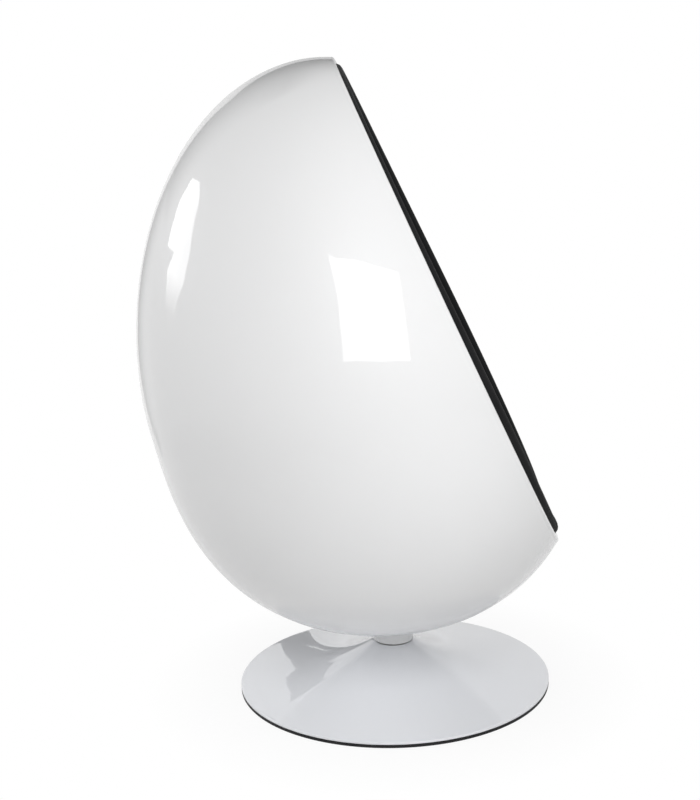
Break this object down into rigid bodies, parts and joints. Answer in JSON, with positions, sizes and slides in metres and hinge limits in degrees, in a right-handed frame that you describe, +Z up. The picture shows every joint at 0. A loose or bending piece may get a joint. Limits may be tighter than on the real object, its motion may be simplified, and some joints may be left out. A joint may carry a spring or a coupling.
{
  "type": "pod chair",
  "caption": "Swivelling lounge chair: a glossy egg-shaped shell with a leaning oval opening, padded and cushioned inside, on a round trumpet base.",
  "frame": {"origin": "on the floor under the swivel axis, at the middle of the base pad's underside", "axes": "+Z up along the swivel axis; the opening and the sitter's feet face -Y; +X is to the sitter's left"},
  "size_m": [0.87, 0.8252, 1.2805],
  "materials": {
    "shell_white": "gloss",
    "base_white": "gloss",
    "black_fabric": "matte",
    "floor_rubber": "matte",
    "ballast_black": "satin",
    "bright_steel": "satin",
    "white_nylon": "satin",
    "plywood": "matte"
  },
  "bodies": {
    "base": {"floor_pad": "floor_rubber", "ballast_plate": "ballast_black", "base_trumpet": "base_white", "centre_post": "bright_steel", "neck_ring": "white_nylon", "lower_race": "bright_steel", "retaining_clip": "ballast_black", "base_screw_1": "bright_steel", "base_screw_2": "bright_steel", "base_screw_3": "bright_steel", "base_screw_4": "bright_steel", "base_screw_5": "bright_steel", "base_screw_6": "bright_steel", "foot_bolt_1": "bright_steel", "foot_bolt_2": "bright_steel", "foot_bolt_3": "bright_steel", "foot_bolt_4": "bright_steel", "foot_washer_1": "bright_steel", "foot_washer_2": "bright_steel", "foot_washer_3": "bright_steel", "foot_washer_4": "bright_steel"},
    "bearing": {"ball_cage": "bright_steel"},
    "pod": {"pod_shell": "shell_white", "collar": "shell_white", "pod_liner": "black_fabric", "rim_roll": "black_fabric", "seat_base_pad": "black_fabric", "seat_cushion": "black_fabric", "back_cushion": "black_fabric", "hub": "bright_steel", "upper_race": "bright_steel", "mounting_plate": "bright_steel", "clamp_washer": "bright_steel", "hub_nut": "bright_steel", "plate_screw_1": "bright_steel", "plate_screw_2": "bright_steel", "plate_screw_3": "bright_steel", "plate_screw_4": "bright_steel", "plate_screw_5": "bright_steel", "plate_screw_6": "bright_steel", "lower_bush": "white_nylon", "upper_bush": "white_nylon", "retaining_washer": "white_nylon", "bedding_block": "plywood"}
  },
  "joints": [
    {"name": "pod_swivel", "type": "hinge", "parent": "base", "child": "pod", "pos_m": [0, 0, 0.15], "axis": [0, 0, 1], "continuous": true},
    {"name": "bearing_roll", "type": "hinge", "parent": "base", "child": "bearing", "pos_m": [0, 0, 0.09], "axis": [0, 0, 1], "continuous": true}
  ],
  "couplings": [
    {"joint": "bearing_roll", "follows": "pod_swivel", "ratio": 0.5}
  ]
}
